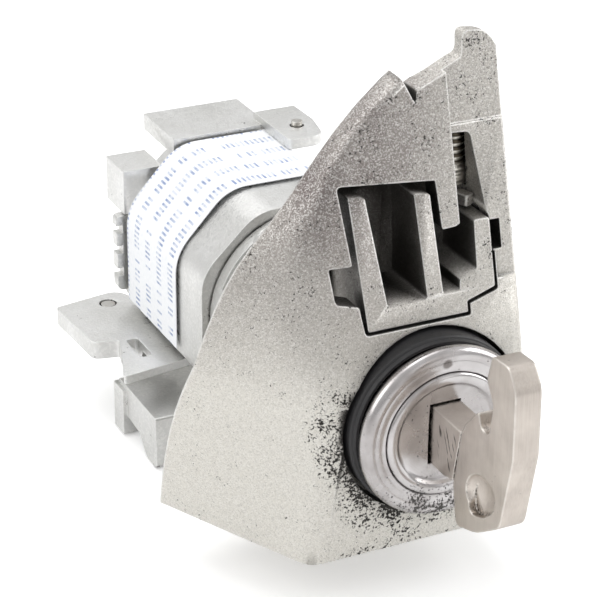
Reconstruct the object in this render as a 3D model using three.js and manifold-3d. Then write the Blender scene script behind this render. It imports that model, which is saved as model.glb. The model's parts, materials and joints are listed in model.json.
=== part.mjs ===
// Car door lock cylinder in its die-cast carrier, with the key in the lock.
// Millimetres. +X is right as seen by someone facing the lock, +Y runs into the door, +Z is up.
// The lock turns about the Y axis. Depths in this file are measured from the face of the
// escutcheon; the last lines move the assembly so that the origin lies on the lock axis where
// it meets the door seat.
import * as THREE from 'three';
import { mergeVertices } from 'three/addons/utils/BufferGeometryUtils.js';
import Module from 'manifold-3d';

const wasm = await Module();
wasm.setup();

// ---------------------------------------------------------------- driving dimensions
const SEAT_DEPTH = 26; // lock face to door seat, along the lock axis
const GAP = 0.3; // air between neighbouring pieces
const FAR = 90; // a tool end well past the metal
const SMOOTH = 48; // facets round a large turned piece
const COARSE = 24; // facets round a small one
const FINE = 16; // facets round a pin or a screw

const CARRIER = {
  bottom: -19.3,
  top: 52.5,
  right: 15,
  rimDepth: 25.87,
  rimLean: 0.165,
  faceDepth: 3.5,
  faceLeanStart: 8,
  faceLean: 0.27,
  sideDepthLow: 25.5,
  sideDepthHigh: 3.6,
  shoulderRoundLow: 2.2,
  shoulderRoundHigh: 6,
  edgeRound: 2.2,
  wall: 3.4,
  hollowTop: 37,
  hollowBottom: -16,
  boss: 12.9,
  bossBack: 14,
  windowBack: 21,
  pocketBack: 18.7,
};
const RING = { outer: 13.65, inner: 12.2, front: 1.6, widest: 3.1, back: 7.7 };
const ESCUTCHEON = {
  outer: 13, skirt: 11.9, skirtInner: 10.9, inner: 9.75, front: -1.5, step: 1.2,
  back: 7.6,
};
const PLUG_FACE = { radius: 9.45, front: -1.2, back: 1.4 };
const KEY_SLOT = { width: 4.9, height: 9.4 };
const BARREL = { neck: 10.4, neckFront: 2, body: 15.5, bodyFront: 29.2, back: 45.7, bore: 8.6 };
const PLUG = {
  front: 1.75, collar: 8.3, core: 6.8, coreFront: 8, coreBack: 44, collarBack: 50,
  tail: 3.5, tailBack: 79.2,
};
const WAFER = {
  count: 8, first: 13, pitch: 4, thick: 1.2, width: 8, height: 12.8, windowWidth: 4.1,
  windowHeight: 10.4,
};
const BLADE = { thick: 3, height: 8.6, back: 41, groove: 1.8, grooveFront: 7 };
const KEY_NECK = { thick: 4.4, height: 8.9, back: 5.6 };
const KEY_HEAD = { left: -2.2, right: 1.7, pocket: 1.1 };
const HOUSING = { front: 46, back: 75.5, left: -16.7, right: 14.7, top: 16.2, bottom: -11.3 };
const HOUSING_SCREW = { left: -11.4, right: 10, z: 9.2, front: 60, shank: 1.2, hole: 1.5, head: 2.5 };
const PLATE = { thick: 3 }; // end plate of the rear bracket
const LABEL = { front: 55, back: 75.2, thick: 0.3, edgeRight: 7.6, edgeBottom: -9.2 };
const SPRING = { radius: 8.6, wire: 1.3, turns: 5, front: 53.5, back: 65.5 };
const CAM = { radius: 10.6, front: 79.5, back: 82, bore: 2.9, pinRadius: 1.2, crank: 8, pinBack: 86.3 };
const SLIDE = { top: -12, bottom: -15, thinBottom: -13.4, thickFrom: 64.4 };
const YOKE = { front: 83.4, back: 86, barFront: 78.2, top: -3.4, bottom: -18.3, half: 5, slotHalf: 1.75 };
const RIVET = { x: -19, y: 80.4, hole: 1.5, shank: 1.2, head: 2.3 };
const SCREW = {
  x: 8.8, y: 16.4, bottom: 29.6, head: 32.4, top: 42.1, shank: 2, root: 1.55,
  thread: 1.9, threads: 9,
};
const BARREL_PIN = { y: 10.5, radius: 1, hole: 1.3, bottom: 8.9, top: 12.8 };
const BRACKET_PIN = { x: 11, y: 70.5, radius: 0.9, hole: 1.2, bottom: 16.9, top: 19.4 };

// ---------------------------------------------------------------- materials
function metal(color, roughness) {
  return new THREE.MeshStandardMaterial({ color, roughness, metalness: 1 });
}
function dull(color, roughness) {
  return new THREE.MeshStandardMaterial({ color, roughness, metalness: 0 });
}
const castZinc = () => metal(0xb4b1a8, 0.55);
const bareZinc = () => metal(0xc9c7c2, 0.5);
const polishedSteel = () => metal(0xd6d2cc, 0.22);
const satinNickel = () => metal(0xc9bdb0, 0.35);
const platedSteel = () => metal(0xb9b7b0, 0.4);
const springSteel = () => metal(0x8d8b86, 0.4);
const wornBrass = () => metal(0xb79a5a, 0.4);
const blackRubber = () => dull(0x17171a, 0.7);
const whitePaper = () => dull(0xeceff2, 0.6);

// ---------------------------------------------------------------- solids
function solidOf(geometry) {
  const bare = geometry.index ? geometry.toNonIndexed() : geometry.clone();
  bare.deleteAttribute('normal');
  bare.deleteAttribute('uv');
  const merged = mergeVertices(bare, 1e-3);
  const triVerts = new Uint32Array(merged.index.array);
  const vertProperties = merged.attributes.position.array;
  const made = new wasm.Manifold(new wasm.Mesh({ numProp: 3, vertProperties, triVerts }));
  if (made.volume() > 0) return made;
  for (let i = 0; i < triVerts.length; i += 3) {
    [triVerts[i + 1], triVerts[i + 2]] = [triVerts[i + 2], triVerts[i + 1]];
  }
  return new wasm.Manifold(new wasm.Mesh({ numProp: 3, vertProperties, triVerts }));
}

function geometryOf(solid) {
  const mesh = solid.getMesh();
  const geometry = new THREE.BufferGeometry();
  const positions = new Float32Array(mesh.numVert * 3);
  for (let i = 0; i < mesh.numVert; i += 1) {
    for (let k = 0; k < 3; k += 1) positions[3 * i + k] = mesh.vertProperties[i * mesh.numProp + k];
  }
  geometry.setAttribute('position', new THREE.BufferAttribute(positions, 3));
  geometry.setIndex(new THREE.BufferAttribute(new Uint32Array(mesh.triVerts), 1));
  geometry.computeVertexNormals();
  return geometry;
}

const cut = (body, ...tools) => tools.reduce((kept, tool) => kept.subtract(tool), body);
const join = (...pieces) => pieces.reduce((whole, piece) => whole.add(piece));

function box(x, y, z) {
  const geometry = new THREE.BoxGeometry(x[1] - x[0], y[1] - y[0], z[1] - z[0]);
  geometry.translate((x[0] + x[1]) / 2, (y[0] + y[1]) / 2, (z[0] + z[1]) / 2);
  return solidOf(geometry);
}

// A closed outline from corner points, each [a, b] or [a, b, rounding].
function outline(corners) {
  const shape = new THREE.Shape();
  const points = corners.map(([a, b]) => new THREE.Vector2(a, b));
  corners.forEach((corner, i) => {
    const here = points[i];
    const before = points[(i + points.length - 1) % points.length];
    const after = points[(i + 1) % points.length];
    const round = corner[2] ?? 0;
    const start = here.clone().add(before.clone().sub(here).setLength(round));
    const end = here.clone().add(after.clone().sub(here).setLength(round));
    if (i === 0) shape.moveTo(start.x, start.y);
    else shape.lineTo(start.x, start.y);
    if (round > 0) shape.quadraticCurveTo(here.x, here.y, end.x, end.y);
  });
  shape.closePath();
  return shape;
}
// A rectangle about the axis with its corners rounded.
function rectangle(halfWidth, halfHeight, round) {
  const corners = [[-1, -1], [1, -1], [1, 1], [-1, 1]];
  return outline(corners.map(([a, b]) => [a * halfWidth, b * halfHeight, round]));
}

const X = new THREE.Vector3(1, 0, 0);
const Y = new THREE.Vector3(0, 1, 0);
const Z = new THREE.Vector3(0, 0, 1);
function extruded(shape, length, axes, steps = 5) {
  const settings = { depth: length, bevelEnabled: false, curveSegments: steps };
  const geometry = new THREE.ExtrudeGeometry(shape, settings);
  return geometry.applyMatrix4(new THREE.Matrix4().makeBasis(...axes));
}
// Outline in (x, z), from depth y0 to y1.
function alongY(shape, y0, y1, steps) {
  return solidOf(extruded(shape, y1 - y0, [X, Z, Y.clone().negate()], steps).translate(0, y1, 0));
}
// Outline in (y, z), from x0 to x1.
function alongX(shape, x0, x1, steps) {
  return solidOf(extruded(shape, x1 - x0, [Y, Z, X], steps).translate(x0, 0, 0));
}
// Outline in (x, y), from z0 to z1.
function alongZ(shape, z0, z1, steps) {
  return solidOf(extruded(shape, z1 - z0, [X, Y, Z], steps).translate(0, 0, z0));
}

// A turned solid about the lock axis; profile points are [radius, depth].
function turned(profile, segments = SMOOTH) {
  const points = profile.map(([radius, depth]) => new THREE.Vector2(radius, depth));
  return solidOf(new THREE.LatheGeometry(points, segments));
}
function disc(radius, y0, y1, segments = SMOOTH) {
  return turned([[0, y0], [radius, y0], [radius, y1], [0, y1]], segments);
}
function ring(inner, outer, y0, y1, segments = SMOOTH) {
  return turned([[inner, y0], [outer, y0], [outer, y1], [inner, y1], [inner, y0]], segments);
}
// An upright turned solid at (x, y); profile points are [radius, height].
function turnedUpright(profile, x, y, segments = COARSE) {
  const points = profile.map(([radius, height]) => new THREE.Vector2(radius, height));
  const geometry = new THREE.LatheGeometry(points, segments);
  return solidOf(geometry.rotateX(Math.PI / 2).translate(x, y, 0));
}
function upright(radius, x, y, z0, z1, segments = FINE) {
  return turnedUpright([[0, z0], [radius, z0], [radius, z1], [0, z1]], x, y, segments);
}

// A solid through a stack of level sections with the same number of points.
function lofted(sections) {
  const count = sections[0].length;
  const last = (sections.length - 1) * count;
  const index = [];
  for (let base = 0; base < last; base += count) {
    for (let i = 0; i < count; i += 1) {
      const a = base + i;
      const b = base + ((i + 1) % count);
      index.push(a, b, b + count, a, b + count, a + count);
    }
  }
  const flat = (points) => points.map((p) => new THREE.Vector2(p.x, p.y));
  THREE.ShapeUtils.triangulateShape(flat(sections[0]), []).forEach(([a, b, c]) => {
    index.push(a, c, b);
  });
  THREE.ShapeUtils.triangulateShape(flat(sections.at(-1)), []).forEach(([a, b, c]) => {
    index.push(last + a, last + b, last + c);
  });
  const geometry = new THREE.BufferGeometry().setFromPoints(sections.flat());
  geometry.setIndex(index);
  return solidOf(geometry);
}
function levels(from, to, count) {
  return Array.from({ length: count + 1 }, (_, i) => from + ((to - from) * i) / count);
}

const nodes = [];
function node(name, solid, material) {
  const mesh = new THREE.Mesh(geometryOf(solid), material);
  mesh.name = name;
  nodes.push(mesh);
}

// ---------------------------------------------------------------- carrier casting
// The carrier is a fin made of level sections. Its face leans back, its rim leans forward, and
// its left side sweeps in and grows thinner towards the top.
const { lerp, smoothstep } = THREE.MathUtils;
const faceDepthAt = (z) => {
  const above = Math.max(0, z - CARRIER.faceLeanStart);
  return CARRIER.faceDepth + above * CARRIER.faceLean;
};
const rimDepthAt = (z) => CARRIER.rimDepth - z * CARRIER.rimLean;
const sideDepthAt = (z) => lerp(CARRIER.sideDepthLow, CARRIER.sideDepthHigh, smoothstep(z, -25, 44));
const shoulderRoundAt = (z) => {
  return lerp(CARRIER.shoulderRoundLow, CARRIER.shoulderRoundHigh, smoothstep(z, -12, 22));
};
const curveOf = (points) => new THREE.SplineCurve(points.map(([x, z]) => new THREE.Vector2(x, z)));
// The left rim, and the shoulder where the side turns into the face, as (x, z).
const LEFT_RIM = curveOf([
  [-31.2, -19.3], [-30.6, 2], [-26, 20], [-17.6, 31.5], [-9.7, 40.7], [-1, 47.3], [9, 53],
]);
const SHOULDER = curveOf([
  [-18.8, -19.3], [-15.7, 0], [-16.4, 13], [-17, 24],
  [-14.2, 34], [-8.8, 41.3], [-0.4, 47.5], [9.6, 53],
]);
// The x at which a rising curve reaches height z.
function across(curve, z) {
  const halvings = 24;
  let low = 0;
  let high = 1;
  for (let i = 0; i < halvings; i += 1) {
    const middle = (low + high) / 2;
    if (curve.getPoint(middle).y < z) low = middle;
    else high = middle;
  }
  return curve.getPoint(low).x;
}

// One level section: along the rim, down the left side, round the shoulder, across the face.
function section(z, inset, rimReach) {
  const sideSteps = 4;
  const shoulderSteps = 5;
  const edgeSteps = 3;
  const face = faceDepthAt(z) + inset;
  const rim = rimDepthAt(z) + rimReach;
  const right = CARRIER.right - inset;
  const side = across(LEFT_RIM, z) + inset;
  const seat = new THREE.Vector2(side, faceDepthAt(z) + sideDepthAt(z));
  const shoulder = new THREE.Vector2(across(SHOULDER, z) + inset, face);
  const toSeat = seat.clone().sub(shoulder);
  const reach = Math.min(shoulderRoundAt(z), 0.45 * toSeat.length());
  const points = [new THREE.Vector2(right, rim)];
  if (rimReach > 0) points.push(new THREE.Vector2(side, rim));
  const turnStart = shoulder.clone().add(toSeat.setLength(reach));
  for (let i = 0; i < sideSteps; i += 1) points.push(seat.clone().lerp(turnStart, i / sideSteps));
  const turnEnd = new THREE.Vector2(Math.min(shoulder.x + reach, right - 3), face);
  const shoulderCurve = new THREE.QuadraticBezierCurve(turnStart, shoulder, turnEnd);
  points.push(...shoulderCurve.getPoints(shoulderSteps));
  const edge = Math.min(inset > 0 ? 0.8 : CARRIER.edgeRound, 0.6 * (rimDepthAt(z) - face));
  const corner = new THREE.Vector2(right, face);
  const edgeStart = new THREE.Vector2(right - edge, face);
  const edgeEnd = new THREE.Vector2(right, face + edge);
  points.push(...new THREE.QuadraticBezierCurve(edgeStart, corner, edgeEnd).getPoints(edgeSteps));
  return points.map((p) => new THREE.Vector3(p.x, p.y, z));
}

// The window in the face, with a side notch on its left and a step at its lower right; the
// tongue hangs into it from above.
const WINDOW = [
  [-12.1, 34.7, 0.8], [-10.9, 24, 0.3], [-14.4, 24.1, 0.4], [-13.8, 19.2, 0.5], [-10.5, 18.4, 0.3],
  [-9.9, 14.3, 0.6], [6.6, 14.3, 0.4], [6.6, 15.9, 0.2], [11.2, 17.1, 0.4], [11.2, 22.3],
  [12.7, 22.3, 0.2], [12.7, 26.4, 0.2], [11.2, 26.4], [11, 27.3], [6.4, 27.3, 0.9],
  [5.6, 26.7, 0.4], [3.3, 26.6, 0.3], [2.9, 33.3, 0.3],
];
// The screw's pocket, open to the window below it.
const POCKET = [[11, 27], [10.7, 28.2, 0.4], [9.3, 38.7, 0.8], [6.3, 38.9, 0.4], [6.4, 27]];
// The metal above the top edge: everything over this line is cut away.
const TOP_EDGE = [
  [-45, 80], [-45, 60], [-4.2, 52.2], [-1.9, 48.9, 0.3], [-0.9, 47.6], [1, 43.6, 0.8], [1.4, 45.4, 0.3],
  [5.3, 46.9], [9.3, 48.5, 0.5], [9.8, 51.9, 1.2], [13.4, 51.6, 1.4], [15.6, 48.4], [40, 48], [40, 80],
];
// The face right of the tongue is set back in two steps.
const FACE_STEP = { left: 6.1, ledge: 39.9, low: 18.6, upperDepth: 1.2, lowerDepth: 0.7 };

function carrierHollow() {
  const heights = levels(CARRIER.hollowBottom, CARRIER.hollowTop, 10);
  const whole = lofted(heights.map((z) => section(z, CARRIER.wall, 8)));
  const pocketMetal = box([6.6, FAR], [-FAR, FAR], [27.2, FAR]);
  return cut(whole, pocketMetal);
}
function faceStep(left, z0, z1, depth) {
  const shape = outline([
    [faceDepthAt(z0) - 9, z0], [faceDepthAt(z0) + depth, z0],
    [faceDepthAt(z1) + depth, z1], [faceDepthAt(z1) - 9, z1],
  ]);
  return alongX(shape, left, FAR);
}
function carrierCasting() {
  const step = FACE_STEP;
  const outer = lofted(levels(CARRIER.bottom, CARRIER.top, 24).map((z) => section(z, 0, 0)));
  const boss = disc(CARRIER.boss, faceDepthAt(0) + 0.5, CARRIER.bossBack).intersect(outer);
  return cut(
    join(outer.subtract(carrierHollow()), boss),
    alongY(outline(TOP_EDGE), -FAR, FAR),
    alongY(outline(WINDOW), -FAR, CARRIER.windowBack, 3),
    alongY(outline(POCKET), -FAR, CARRIER.pocketBack, 3),
    faceStep(step.left, step.ledge, 60, step.upperDepth),
    faceStep(step.left, 24, step.ledge, step.lowerDepth),
    faceStep(11.3, step.low, 25, step.lowerDepth),
    box([2.4, 7], [13.6, 16], [26, 36.8]),
    disc(RING.outer + GAP, -5, 8),
    disc(BARREL.neck + GAP, 0, 30),
    upright(SCREW.shank + GAP, SCREW.x, SCREW.y, SCREW.bottom - GAP, SCREW.top + GAP, COARSE),
    upright(BARREL_PIN.hole, 0, BARREL_PIN.y, 9, 13.4),
  );
}
node('carrier_casting', carrierCasting(), castZinc());

// ---------------------------------------------------------------- ribbed insert
// Three ribs stand on a common base and a back wall, which closes the window.
const INSERT = { front: 3, back: 18.4, wallFront: 16.6, stepFront: 13 };
const RIBS = [
  [-10.5, 33, 0.3], [-8, 32.6, 0.3], [-6.1, 17.5, 0.6], [0.1, 17.6, 0.5], [-0.5, 32, 0.3], [1.9, 31.6, 0.3],
  [2.6, 17.8, 0.5], [5.2, 17.9, 0.3], [5.4, 19.4, 0.3], [8.2, 20.3, 0.4], [8.4, 27, 0.3], [10.8, 27, 0.3],
  [10.8, 17.6, 0.3], [6.2, 16.3, 0.2], [6.2, 14.8, 0.2], [-9.4, 14.8, 0.3],
];
const INSERT_WALL = [
  [-10.6, 14.8], [6.2, 14.8], [6.2, 16.3], [10.8, 17.6],
  [10.8, 26.9], [6.3, 26.9], [6.3, 34.3], [-10.6, 34.3],
];
function ribInsert() {
  const ribs = alongY(outline(RIBS), INSERT.front, INSERT.back, 3);
  const wall = alongY(outline(INSERT_WALL), INSERT.wallFront, INSERT.back);
  const step = box([-8.6, -3.9], [INSERT.stepFront, INSERT.back], [16, 33.4]);
  const beforeFace = outline([
    [faceDepthAt(10) - 20, 10], [faceDepthAt(10) + 0.1, 10],
    [faceDepthAt(40) + 0.1, 40], [faceDepthAt(40) - 20, 40],
  ]);
  const clearOfTongue = box([2.2, 7], [-5, 16.5], [26, 36]);
  return cut(join(ribs, wall, step), alongX(beforeFace, -FAR, FAR), clearOfTongue);
}
node('rib_insert', ribInsert(), castZinc());

// ---------------------------------------------------------------- clamp screw and its pad
function clampScrew() {
  const foot = SCREW.bottom;
  const profile = [[0, foot], [1.4, foot], [SCREW.shank, foot + 0.5], [SCREW.shank, SCREW.head]];
  const threadStart = SCREW.head + GAP;
  const pitch = (SCREW.top - threadStart - GAP) / SCREW.threads;
  for (let i = 0; i < SCREW.threads; i += 1) {
    const z = threadStart + i * pitch;
    profile.push([SCREW.root, z], [SCREW.thread, z + pitch / 2]);
  }
  profile.push([1.4, SCREW.top], [0, SCREW.top]);
  const socket = upright(0.9, SCREW.x, SCREW.y, foot - 1, foot + 1.6, 6);
  return cut(turnedUpright(profile, SCREW.x, SCREW.y, 18), socket);
}
function clampPad() {
  const bar = outline([[6.9, 17.6, 0.4], [8.3, 18.3, 0.4], [10.5, 12.6, 0.4], [9, 12, 0.4]]);
  return alongZ(bar, 27.6, 29.2);
}
node('clamp_screw', clampScrew(), platedSteel());
node('clamp_pad', clampPad(), castZinc());

// ---------------------------------------------------------------- seal and escutcheon
function rubberRing() {
  const lip = RING.front + 0.4;
  return turned([
    [RING.inner, lip], [12.6, RING.front], [13.2, RING.front + 0.5], [RING.outer, RING.widest],
    [RING.outer, RING.back], [RING.inner, RING.back], [RING.inner, lip],
  ]);
}
function escutcheon() {
  const e = ESCUTCHEON;
  const rim = new THREE.CubicBezierCurve(
    new THREE.Vector2(e.outer, 0.2),
    new THREE.Vector2(e.outer, -1.3),
    new THREE.Vector2(12.2, e.front - 0.25),
    new THREE.Vector2(10.1, -0.9),
  );
  const front = rim.getPoints(7).map((p) => [p.x, p.y]);
  return turned([
    ...front, [e.inner, -0.7], [e.inner, e.step], [e.skirtInner, e.step + 0.5], [e.skirtInner, e.back],
    [e.skirt, e.back], [e.skirt, e.step + 0.1], [e.outer - 0.3, e.step], [e.outer, 0.2],
  ]);
}
node('rubber_ring', rubberRing(), blackRubber());
node('escutcheon', escutcheon(), polishedSteel());

// ---------------------------------------------------------------- barrel in the carrier
function barrelHousing() {
  const b = BARREL;
  const shell = turned([
    [b.bore, b.neckFront], [b.neck, b.neckFront], [b.neck, b.bodyFront],
    [b.body, b.bodyFront], [b.body, b.back], [b.bore, b.back], [b.bore, b.neckFront],
  ]);
  const pocket = box([-20, -9.2], [37.5, 43.5], [5.5, 20]);
  const flat = box([-20, 20], [b.bodyFront - 1, 36], [14.2, 20]);
  return cut(shell, pocket, flat, upright(BARREL_PIN.hole, 0, BARREL_PIN.y, 7, 13.4));
}
const barrelPin = upright(BARREL_PIN.radius, 0, BARREL_PIN.y, BARREL_PIN.bottom, BARREL_PIN.top);
node('barrel_housing', barrelHousing(), bareZinc());
node('barrel_pin', barrelPin, platedSteel());

// ---------------------------------------------------------------- rear housing and its label
function housingOutline(grow) {
  const h = HOUSING;
  return outline([
    [h.left - grow, h.bottom - grow, 2.5], [h.right + grow, h.bottom - grow, 2.5],
    [h.right + grow, 7.6, 2.4], [8.2, h.top + grow, 2.4],
    [-7.4, h.top + grow, 3.2], [h.left - grow, 7.2, 3.2],
  ]);
}
function atHousingScrews(solid) {
  return [HOUSING_SCREW.left, HOUSING_SCREW.right].map((x) => solid.translate(x, 0, HOUSING_SCREW.z));
}
function rearHousing() {
  const cavity = join(disc(BARREL.bore, 40, 52), disc(11, 51, 70), disc(4.3, 60, 80, COARSE));
  const screwHoles = atHousingScrews(disc(HOUSING_SCREW.hole, 58, 80, FINE));
  return cut(alongY(housingOutline(0), HOUSING.front, HOUSING.back), cavity, ...screwHoles);
}
function rearLabel() {
  const band = alongY(housingOutline(GAP + LABEL.thick), LABEL.front, LABEL.back);
  const inner = alongY(housingOutline(GAP), LABEL.front - 1, LABEL.back + 1);
  const pastRightEdge = box([LABEL.edgeRight, 40], [40, FAR], [-40, 40]);
  const pastBottomEdge = box([-40, 40], [40, FAR], [-40, LABEL.edgeBottom]);
  return cut(band, inner, pastRightEdge, pastBottomEdge);
}
node('rear_housing', rearHousing(), bareZinc());
node('rear_label', rearLabel(), whitePaper());

// ---------------------------------------------------------------- rear bracket
function rearBracket() {
  const y0 = HOUSING.back + GAP;
  const y1 = y0 + PLATE.thick;
  const pin = BRACKET_PIN;
  const plate = alongY(housingOutline(-GAP), y0, y1);
  const slab = box([-8.6, 8.4], [y0, 88.5], [14.6, 17.4]);
  const slabRoot = box([-8.6, 8.4], [y0, y1], [12, 15]);
  const lugShape = outline([[7.1, 65, 0.8], [13.2, 65, 2.2], [14.6, 72, 1], [14.4, y1], [7.1, y1]]);
  const lug = alongZ(lugShape, 16.9, 18.6);
  const lugRoot = box([7.1, 12.2], [y0, y1], [9, 17.4]);
  const corner = box([-17.2, -10.4], [y0 + 0.6, 84], [5.4, 12.9]);
  const earShape = outline([[-18.6, 5.2, 0.8], [-18.6, -8, 1.2], [-15, -8], [-15, 5.2]]);
  const ear = alongY(earShape, y0 + 0.6, y1 - 0.6);
  const slotHeights = [[2.2, 3.6], [-1.4, 0], [-5.4, -4]];
  const slots = slotHeights.map((z) => box([-30, -17.6], [60, FAR], z));
  const screwHoles = atHousingScrews(disc(HOUSING_SCREW.hole + 0.1, 70, FAR, FINE));
  const headRoom = disc(3, y1 - 1.6, FAR, COARSE).translate(HOUSING_SCREW.left, 0, HOUSING_SCREW.z);
  return cut(
    join(plate, slab, slabRoot, lug, lugRoot, corner, ear),
    disc(4.3, 60, FAR, COARSE), ...slots, ...screwHoles, headRoom,
    upright(pin.hole, pin.x, pin.y, 15, 20),
  );
}
function bracketPin() {
  const pin = BRACKET_PIN;
  return upright(pin.radius, pin.x, pin.y, pin.bottom, pin.top);
}
node('rear_bracket', rearBracket(), bareZinc());
node('bracket_pin', bracketPin(), platedSteel());

// The left screw sits in a sunk seat, the right one on the plate.
function housingScrew(headFront) {
  const screw = HOUSING_SCREW;
  const shank = disc(screw.shank, screw.front, headFront + 0.1, FINE);
  const head = disc(screw.head, headFront, headFront + 1.4, FINE);
  const slot = box([-4, 4], [headFront + 0.7, headFront + 4], [-0.35, 0.35]);
  return cut(join(shank, head), slot);
}
const plateBack = HOUSING.back + GAP + PLATE.thick;
[['left', plateBack - 1.3], ['right', plateBack + GAP]].forEach(([side, headFront]) => {
  const placed = housingScrew(headFront).translate(HOUSING_SCREW[side], 0, HOUSING_SCREW.z);
  node(`housing_screw_${side}`, placed, platedSteel());
});

// ---------------------------------------------------------------- lower block
function lowerBlock() {
  const side = outline([
    [50.5, -18.3, 0.4], [66, -18.3, 0.4], [66, -23.4, 0.5], [57.5, -24.2], [54.6, -27.2, 0.8],
    [50.3, -27.2, 0.8],
  ]);
  const web = box([0.5, 6], [51, 65], [-19, HOUSING.bottom - GAP]);
  const foot = box([-23.6, -20.5], [62.6, 66.6], [-27, -19]);
  return join(alongX(side, -22.9, 6), web, foot);
}
node('lower_block', lowerBlock(), bareZinc());

// ---------------------------------------------------------------- return spring
class Coil extends THREE.Curve {
  getPoint(t, target = new THREE.Vector3()) {
    const angle = t * SPRING.turns * 2 * Math.PI;
    const depth = lerp(SPRING.front, SPRING.back, t);
    return target.set(SPRING.radius * Math.cos(angle), depth, SPRING.radius * Math.sin(angle));
  }
}
function returnSpring() {
  const wire = new THREE.Shape().absarc(0, 0, SPRING.wire / 2, 0, 2 * Math.PI);
  const steps = SPRING.turns * 18;
  return solidOf(new THREE.ExtrudeGeometry(wire, { steps, curveSegments: 3, extrudePath: new Coil() }));
}
node('return_spring', returnSpring(), springSteel());

// ---------------------------------------------------------------- plug and its face
function plugFace() {
  const face = PLUG_FACE;
  const dish = turned([
    [0, 0.1], [4.5, -0.1], [7.3, -0.55], [7.8, -0.95], [8.9, face.front], [face.radius, -0.9],
    [face.radius, face.back], [0, face.back],
  ]);
  const w = KEY_SLOT.width / 2;
  const h = KEY_SLOT.height / 2;
  return cut(dish, box([-w, w], [-5, 5], [-h, h]));
}
const waferDepths = levels(WAFER.first, WAFER.first + WAFER.pitch * (WAFER.count - 1), WAFER.count - 1);
function plug() {
  const p = PLUG;
  const bearing = CAM.bore - GAP;
  const core = turned([
    [0, p.front], [p.collar, p.front], [p.collar, p.coreFront], [p.core, p.coreFront], [p.core, p.coreBack],
    [p.collar, p.coreBack + 0.5], [p.collar, p.collarBack], [p.tail + 2, p.collarBack + 1],
    [p.tail, p.collarBack + 1.5], [p.tail, p.tailBack], [bearing, p.tailBack], [bearing, CAM.back + 0.9],
    [0, CAM.back + 0.9],
  ], 32);
  const neckHalf = KEY_NECK.thick / 2 + GAP;
  const bladeHalf = BLADE.thick / 2 + 0.35;
  const neckway = box([-neckHalf, neckHalf], [-5, KEY_NECK.back + 0.6], [-4.75, 4.75]);
  const keyway = box([-bladeHalf, bladeHalf], [-5, BLADE.back + 1], [-4.65, 4.65]);
  const half = WAFER.width / 2 + GAP;
  const reach = WAFER.thick / 2 + GAP;
  const slots = waferDepths.map((y) => box([-half, half], [y - reach, y + reach], [-9, 9]));
  return cut(core, neckway, keyway, ...slots);
}
node('plug_face', plugFace(), polishedSteel());
node('plug', plug(), wornBrass());

// ---------------------------------------------------------------- wafers
function wafer(depth) {
  const half = WAFER.thick / 2;
  const shape = rectangle(WAFER.width / 2, WAFER.height / 2, 1.4);
  const w = WAFER.windowWidth / 2;
  const h = WAFER.windowHeight / 2;
  return cut(alongY(shape, depth - half, depth + half, 3), box([-w, w], [0, 60], [-h, h]));
}
waferDepths.forEach((depth, i) => node(`wafer_${i + 1}`, wafer(depth), wornBrass()));

// ---------------------------------------------------------------- output cam
function outputCam() {
  const plate = disc(CAM.radius, CAM.front, CAM.back, 32);
  const bore = disc(CAM.bore, 70, FAR, COARSE);
  const pinHole = disc(CAM.pinRadius + GAP, 70, FAR, FINE).translate(0, 0, -CAM.crank);
  return cut(plate, bore, pinHole);
}
function crankPin() {
  return disc(CAM.pinRadius, CAM.front, CAM.pinBack, FINE).translate(0, 0, -CAM.crank);
}
function camClip() {
  const closed = ring(CAM.bore, 4.6, CAM.back + GAP, CAM.back + 0.9, COARSE);
  return cut(closed, box([-1.4, 1.4], [80, FAR], [0, 9]));
}
node('output_cam', outputCam(), platedSteel());
node('crank_pin', crankPin(), platedSteel());
node('cam_clip', camClip(), springSteel());

// ---------------------------------------------------------------- lock slide
function rivetHole() {
  return upright(RIVET.hole, RIVET.x, RIVET.y, -30, -10);
}
function slidePlate() {
  const shape = outline([
    [-27.5, 82.4, 0.6], [-15.9, 84.4, 2.4], [-13.2, 78, 1], [-12.4, 56.8, 0.8],
    [-26.4, 54.6, 0.8], [-23.1, 64, 0.5], [-22.4, 66.8, 0.5], [-26.6, 67.7, 1.2],
  ]);
  const slotShape = outline([
    [-21.4, 59.8, 0.8], [-19.4, 59.8, 0.8],
    [-19.4, 66.4, 0.8], [-21.4, 66.4, 0.8],
  ]);
  const underFront = box([-30, -10], [50, SLIDE.thickFrom], [-20, SLIDE.thinBottom]);
  const plate = alongZ(shape, SLIDE.bottom, SLIDE.top);
  return cut(plate, underFront, alongZ(slotShape, -20, -10), rivetHole());
}
function slideYoke() {
  const y = YOKE;
  const bar = box([-22, y.half], [y.barFront, y.back], [y.bottom, SLIDE.bottom - GAP]);
  const relief = box([-12, 9], [70, y.front], [-30, 0]);
  const post = box([-y.half, y.half], [y.front, y.back], [y.bottom, y.top]);
  const slot = box([-y.slotHalf, y.slotHalf], [70, FAR], [-12.5, -4.6]);
  return cut(join(bar, post), relief, slot, rivetHole());
}
function yokeRivet() {
  const r = RIVET;
  const under = YOKE.bottom - GAP;
  return turnedUpright([
    [0, under - 0.8], [r.head, under - 0.8], [r.head, under], [r.shank, under],
    [r.shank, SLIDE.top - 0.1], [0, SLIDE.top - 0.1],
  ], r.x, r.y, FINE);
}
node('slide_plate', slidePlate(), bareZinc());
node('slide_yoke', slideYoke(), platedSteel());
node('yoke_rivet', yokeRivet(), platedSteel());

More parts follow.
